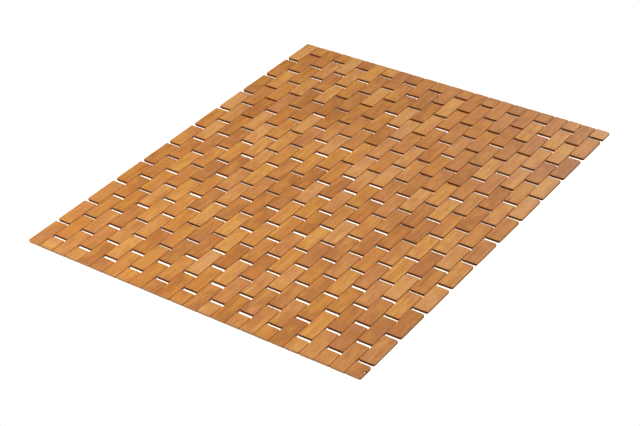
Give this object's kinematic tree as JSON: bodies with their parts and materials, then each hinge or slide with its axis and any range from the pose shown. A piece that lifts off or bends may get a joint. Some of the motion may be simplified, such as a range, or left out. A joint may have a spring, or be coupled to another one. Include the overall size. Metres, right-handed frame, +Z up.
{
  "type": "bath mat",
  "caption": "Flat roll-up bath mat of narrow wooden slats in a brick pattern, strung on cords, with short drain slots between the slat ends.",
  "frame": {"origin": "under the middle of the mat, on the plane that it lies on", "axes": "+X along the slats, +Y along the cords towards row 1, +Z up"},
  "size_m": [0.6, 0.5, 0.0035],
  "materials": {
    "slat_wood": "oiled satin, golden brown, with each slat a little different",
    "cord_fibre": "plain undyed twisted cord"
  },
  "bodies": {
    "row_01": {"slat_row_01": "slat_wood"},
    "row_02": {"slat_row_02": "slat_wood"},
    "row_03": {"slat_row_03": "slat_wood"},
    "row_04": {"slat_row_04": "slat_wood"},
    "row_05": {"slat_row_05": "slat_wood"},
    "row_06": {"slat_row_06": "slat_wood"},
    "row_07": {"slat_row_07": "slat_wood"},
    "row_08": {"slat_row_08": "slat_wood"},
    "row_09": {"slat_row_09": "slat_wood"},
    "row_10": {"slat_row_10": "slat_wood"},
    "row_11": {"slat_row_11": "slat_wood"},
    "row_12": {"slat_row_12": "slat_wood", "cord_01": "cord_fibre", "cord_02": "cord_fibre", "cord_03": "cord_fibre", "cord_04": "cord_fibre", "cord_05": "cord_fibre", "cord_06": "cord_fibre", "cord_07": "cord_fibre", "cord_08": "cord_fibre", "cord_09": "cord_fibre", "cord_10": "cord_fibre", "cord_11": "cord_fibre", "cord_12": "cord_fibre", "cord_13": "cord_fibre", "cord_14": "cord_fibre", "cord_15": "cord_fibre", "cord_16": "cord_fibre", "cord_17": "cord_fibre", "cord_18": "cord_fibre", "cord_19": "cord_fibre", "cord_20": "cord_fibre", "cord_21": "cord_fibre", "cord_22": "cord_fibre"},
    "row_13": {"slat_row_13": "slat_wood"},
    "row_14": {"slat_row_14": "slat_wood"},
    "row_15": {"slat_row_15": "slat_wood"},
    "row_16": {"slat_row_16": "slat_wood"},
    "row_17": {"slat_row_17": "slat_wood"},
    "row_18": {"slat_row_18": "slat_wood"},
    "row_19": {"slat_row_19": "slat_wood"},
    "row_20": {"slat_row_20": "slat_wood"},
    "row_21": {"slat_row_21": "slat_wood"},
    "row_22": {"slat_row_22": "slat_wood"},
    "row_23": {"slat_row_23": "slat_wood"},
    "row_24": {"slat_row_24": "slat_wood", "cord_knot": "cord_fibre"}
  },
  "joints": [
    {"name": "seam_01", "type": "hinge", "parent": "row_01", "child": "row_02", "pos_m": [0, 0.22957, 0.00175], "axis": [-1, 0, 0], "range_deg": [-18, 18], "deforming": ["cord_01", "cord_02", "cord_03", "cord_04", "cord_05", "cord_06", "cord_07", "cord_08", "cord_09", "cord_10", "cord_11", "cord_12", "cord_13", "cord_14", "cord_15", "cord_16", "cord_17", "cord_18", "cord_19", "cord_20", "cord_21", "cord_22"]},
    {"name": "seam_02", "type": "hinge", "parent": "row_02", "child": "row_03", "pos_m": [0, 0.2087, 0.00175], "axis": [-1, 0, 0], "range_deg": [-18.2, 18.2], "deforming": ["cord_01", "cord_02", "cord_03", "cord_04", "cord_05", "cord_06", "cord_07", "cord_08", "cord_09", "cord_10", "cord_11", "cord_12", "cord_13", "cord_14", "cord_15", "cord_16", "cord_17", "cord_18", "cord_19", "cord_20", "cord_21", "cord_22"]},
    {"name": "seam_03", "type": "hinge", "parent": "row_03", "child": "row_04", "pos_m": [0, 0.18783, 0.00175], "axis": [-1, 0, 0], "range_deg": [-18.5, 18.5], "deforming": ["cord_01", "cord_02", "cord_03", "cord_04", "cord_05", "cord_06", "cord_07", "cord_08", "cord_09", "cord_10", "cord_11", "cord_12", "cord_13", "cord_14", "cord_15", "cord_16", "cord_17", "cord_18", "cord_19", "cord_20", "cord_21", "cord_22"]},
    {"name": "seam_04", "type": "hinge", "parent": "row_04", "child": "row_05", "pos_m": [0, 0.16696, 0.00175], "axis": [-1, 0, 0], "range_deg": [-18.7, 18.7], "deforming": ["cord_01", "cord_02", "cord_03", "cord_04", "cord_05", "cord_06", "cord_07", "cord_08", "cord_09", "cord_10", "cord_11", "cord_12", "cord_13", "cord_14", "cord_15", "cord_16", "cord_17", "cord_18", "cord_19", "cord_20", "cord_21", "cord_22"]},
    {"name": "seam_05", "type": "hinge", "parent": "row_05", "child": "row_06", "pos_m": [0, 0.14609, 0.00175], "axis": [-1, 0, 0], "range_deg": [-18.9, 18.9], "deforming": ["cord_01", "cord_02", "cord_03", "cord_04", "cord_05", "cord_06", "cord_07", "cord_08", "cord_09", "cord_10", "cord_11", "cord_12", "cord_13", "cord_14", "cord_15", "cord_16", "cord_17", "cord_18", "cord_19", "cord_20", "cord_21", "cord_22"]},
    {"name": "seam_06", "type": "hinge", "parent": "row_06", "child": "row_07", "pos_m": [0, 0.12522, 0.00175], "axis": [-1, 0, 0], "range_deg": [-19.1, 19.1], "deforming": ["cord_01", "cord_02", "cord_03", "cord_04", "cord_05", "cord_06", "cord_07", "cord_08", "cord_09", "cord_10", "cord_11", "cord_12", "cord_13", "cord_14", "cord_15", "cord_16", "cord_17", "cord_18", "cord_19", "cord_20", "cord_21", "cord_22"]},
    {"name": "seam_07", "type": "hinge", "parent": "row_07", "child": "row_08", "pos_m": [0, 0.10435, 0.00175], "axis": [-1, 0, 0], "range_deg": [-19.4, 19.4], "deforming": ["cord_01", "cord_02", "cord_03", "cord_04", "cord_05", "cord_06", "cord_07", "cord_08", "cord_09", "cord_10", "cord_11", "cord_12", "cord_13", "cord_14", "cord_15", "cord_16", "cord_17", "cord_18", "cord_19", "cord_20", "cord_21", "cord_22"]},
    {"name": "seam_08", "type": "hinge", "parent": "row_08", "child": "row_09", "pos_m": [0, 0.08348, 0.00175], "axis": [-1, 0, 0], "range_deg": [-19.6, 19.6], "deforming": ["cord_01", "cord_02", "cord_03", "cord_04", "cord_05", "cord_06", "cord_07", "cord_08", "cord_09", "cord_10", "cord_11", "cord_12", "cord_13", "cord_14", "cord_15", "cord_16", "cord_17", "cord_18", "cord_19", "cord_20", "cord_21", "cord_22"]},
    {"name": "seam_09", "type": "hinge", "parent": "row_09", "child": "row_10", "pos_m": [0, 0.06261, 0.00175], "axis": [-1, 0, 0], "range_deg": [-19.8, 19.8], "deforming": ["cord_01", "cord_02", "cord_03", "cord_04", "cord_05", "cord_06", "cord_07", "cord_08", "cord_09", "cord_10", "cord_11", "cord_12", "cord_13", "cord_14", "cord_15", "cord_16", "cord_17", "cord_18", "cord_19", "cord_20", "cord_21", "cord_22"]},
    {"name": "seam_10", "type": "hinge", "parent": "row_10", "child": "row_11", "pos_m": [0, 0.04174, 0.00175], "axis": [-1, 0, 0], "range_deg": [-20, 20], "deforming": ["cord_01", "cord_02", "cord_03", "cord_04", "cord_05", "cord_06", "cord_07", "cord_08", "cord_09", "cord_10", "cord_11", "cord_12", "cord_13", "cord_14", "cord_15", "cord_16", "cord_17", "cord_18", "cord_19", "cord_20", "cord_21", "cord_22"]},
    {"name": "seam_11", "type": "hinge", "parent": "row_11", "child": "row_12", "pos_m": [0, 0.02087, 0.00175], "axis": [-1, 0, 0], "range_deg": [-20.3, 20.3], "deforming": ["cord_01", "cord_02", "cord_03", "cord_04", "cord_05", "cord_06", "cord_07", "cord_08", "cord_09", "cord_10", "cord_11", "cord_12", "cord_13", "cord_14", "cord_15", "cord_16", "cord_17", "cord_18", "cord_19", "cord_20", "cord_21", "cord_22"]},
    {"name": "seam_12", "type": "hinge", "parent": "row_12", "child": "row_13", "pos_m": [0, 0, 0.00175], "axis": [-1, 0, 0], "range_deg": [-20.5, 20.5], "deforming": ["cord_01", "cord_02", "cord_03", "cord_04", "cord_05", "cord_06", "cord_07", "cord_08", "cord_09", "cord_10", "cord_11", "cord_12", "cord_13", "cord_14", "cord_15", "cord_16", "cord_17", "cord_18", "cord_19", "cord_20", "cord_21", "cord_22"]},
    {"name": "seam_13", "type": "hinge", "parent": "row_13", "child": "row_14", "pos_m": [0, -0.02087, 0.00175], "axis": [-1, 0, 0], "range_deg": [-20.7, 20.7], "deforming": ["cord_01", "cord_02", "cord_03", "cord_04", "cord_05", "cord_06", "cord_07", "cord_08", "cord_09", "cord_10", "cord_11", "cord_12", "cord_13", "cord_14", "cord_15", "cord_16", "cord_17", "cord_18", "cord_19", "cord_20", "cord_21", "cord_22"]},
    {"name": "seam_14", "type": "hinge", "parent": "row_14", "child": "row_15", "pos_m": [0, -0.04174, 0.00175], "axis": [-1, 0, 0], "range_deg": [-21, 21], "deforming": ["cord_01", "cord_02", "cord_03", "cord_04", "cord_05", "cord_06", "cord_07", "cord_08", "cord_09", "cord_10", "cord_11", "cord_12", "cord_13", "cord_14", "cord_15", "cord_16", "cord_17", "cord_18", "cord_19", "cord_20", "cord_21", "cord_22"]},
    {"name": "seam_15", "type": "hinge", "parent": "row_15", "child": "row_16", "pos_m": [0, -0.06261, 0.00175], "axis": [-1, 0, 0], "range_deg": [-21.2, 21.2], "deforming": ["cord_01", "cord_02", "cord_03", "cord_04", "cord_05", "cord_06", "cord_07", "cord_08", "cord_09", "cord_10", "cord_11", "cord_12", "cord_13", "cord_14", "cord_15", "cord_16", "cord_17", "cord_18", "cord_19", "cord_20", "cord_21", "cord_22"]},
    {"name": "seam_16", "type": "hinge", "parent": "row_16", "child": "row_17", "pos_m": [0, -0.08348, 0.00175], "axis": [-1, 0, 0], "range_deg": [-21.4, 21.4], "deforming": ["cord_01", "cord_02", "cord_03", "cord_04", "cord_05", "cord_06", "cord_07", "cord_08", "cord_09", "cord_10", "cord_11", "cord_12", "cord_13", "cord_14", "cord_15", "cord_16", "cord_17", "cord_18", "cord_19", "cord_20", "cord_21", "cord_22"]},
    {"name": "seam_17", "type": "hinge", "parent": "row_17", "child": "row_18", "pos_m": [0, -0.10435, 0.00175], "axis": [-1, 0, 0], "range_deg": [-21.6, 21.6], "deforming": ["cord_01", "cord_02", "cord_03", "cord_04", "cord_05", "cord_06", "cord_07", "cord_08", "cord_09", "cord_10", "cord_11", "cord_12", "cord_13", "cord_14", "cord_15", "cord_16", "cord_17", "cord_18", "cord_19", "cord_20", "cord_21", "cord_22"]},
    {"name": "seam_18", "type": "hinge", "parent": "row_18", "child": "row_19", "pos_m": [0, -0.12522, 0.00175], "axis": [-1, 0, 0], "range_deg": [-21.9, 21.9], "deforming": ["cord_01", "cord_02", "cord_03", "cord_04", "cord_05", "cord_06", "cord_07", "cord_08", "cord_09", "cord_10", "cord_11", "cord_12", "cord_13", "cord_14", "cord_15", "cord_16", "cord_17", "cord_18", "cord_19", "cord_20", "cord_21", "cord_22"]},
    {"name": "seam_19", "type": "hinge", "parent": "row_19", "child": "row_20", "pos_m": [0, -0.14609, 0.00175], "axis": [-1, 0, 0], "range_deg": [-22.1, 22.1], "deforming": ["cord_01", "cord_02", "cord_03", "cord_04", "cord_05", "cord_06", "cord_07", "cord_08", "cord_09", "cord_10", "cord_11", "cord_12", "cord_13", "cord_14", "cord_15", "cord_16", "cord_17", "cord_18", "cord_19", "cord_20", "cord_21", "cord_22"]},
    {"name": "seam_20", "type": "hinge", "parent": "row_20", "child": "row_21", "pos_m": [0, -0.16696, 0.00175], "axis": [-1, 0, 0], "range_deg": [-22.3, 22.3], "deforming": ["cord_01", "cord_02", "cord_03", "cord_04", "cord_05", "cord_06", "cord_07", "cord_08", "cord_09", "cord_10", "cord_11", "cord_12", "cord_13", "cord_14", "cord_15", "cord_16", "cord_17", "cord_18", "cord_19", "cord_20", "cord_21", "cord_22"]},
    {"name": "seam_21", "type": "hinge", "parent": "row_21", "child": "row_22", "pos_m": [0, -0.18783, 0.00175], "axis": [-1, 0, 0], "range_deg": [-22.5, 22.5], "deforming": ["cord_01", "cord_02", "cord_03", "cord_04", "cord_05", "cord_06", "cord_07", "cord_08", "cord_09", "cord_10", "cord_11", "cord_12", "cord_13", "cord_14", "cord_15", "cord_16", "cord_17", "cord_18", "cord_19", "cord_20", "cord_21", "cord_22"]},
    {"name": "seam_22", "type": "hinge", "parent": "row_22", "child": "row_23", "pos_m": [0, -0.2087, 0.00175], "axis": [-1, 0, 0], "range_deg": [-22.8, 22.8], "deforming": ["cord_01", "cord_02", "cord_03", "cord_04", "cord_05", "cord_06", "cord_07", "cord_08", "cord_09", "cord_10", "cord_11", "cord_12", "cord_13", "cord_14", "cord_15", "cord_16", "cord_17", "cord_18", "cord_19", "cord_20", "cord_21", "cord_22"]},
    {"name": "seam_23", "type": "hinge", "parent": "row_23", "child": "row_24", "pos_m": [0, -0.22957, 0.00175], "axis": [-1, 0, 0], "range_deg": [-23, 23], "deforming": ["cord_01", "cord_02", "cord_03", "cord_04", "cord_05", "cord_06", "cord_07", "cord_08", "cord_09", "cord_10", "cord_11", "cord_12", "cord_13", "cord_14", "cord_15", "cord_16", "cord_17", "cord_18", "cord_19", "cord_20", "cord_21", "cord_22"]}
  ]
}
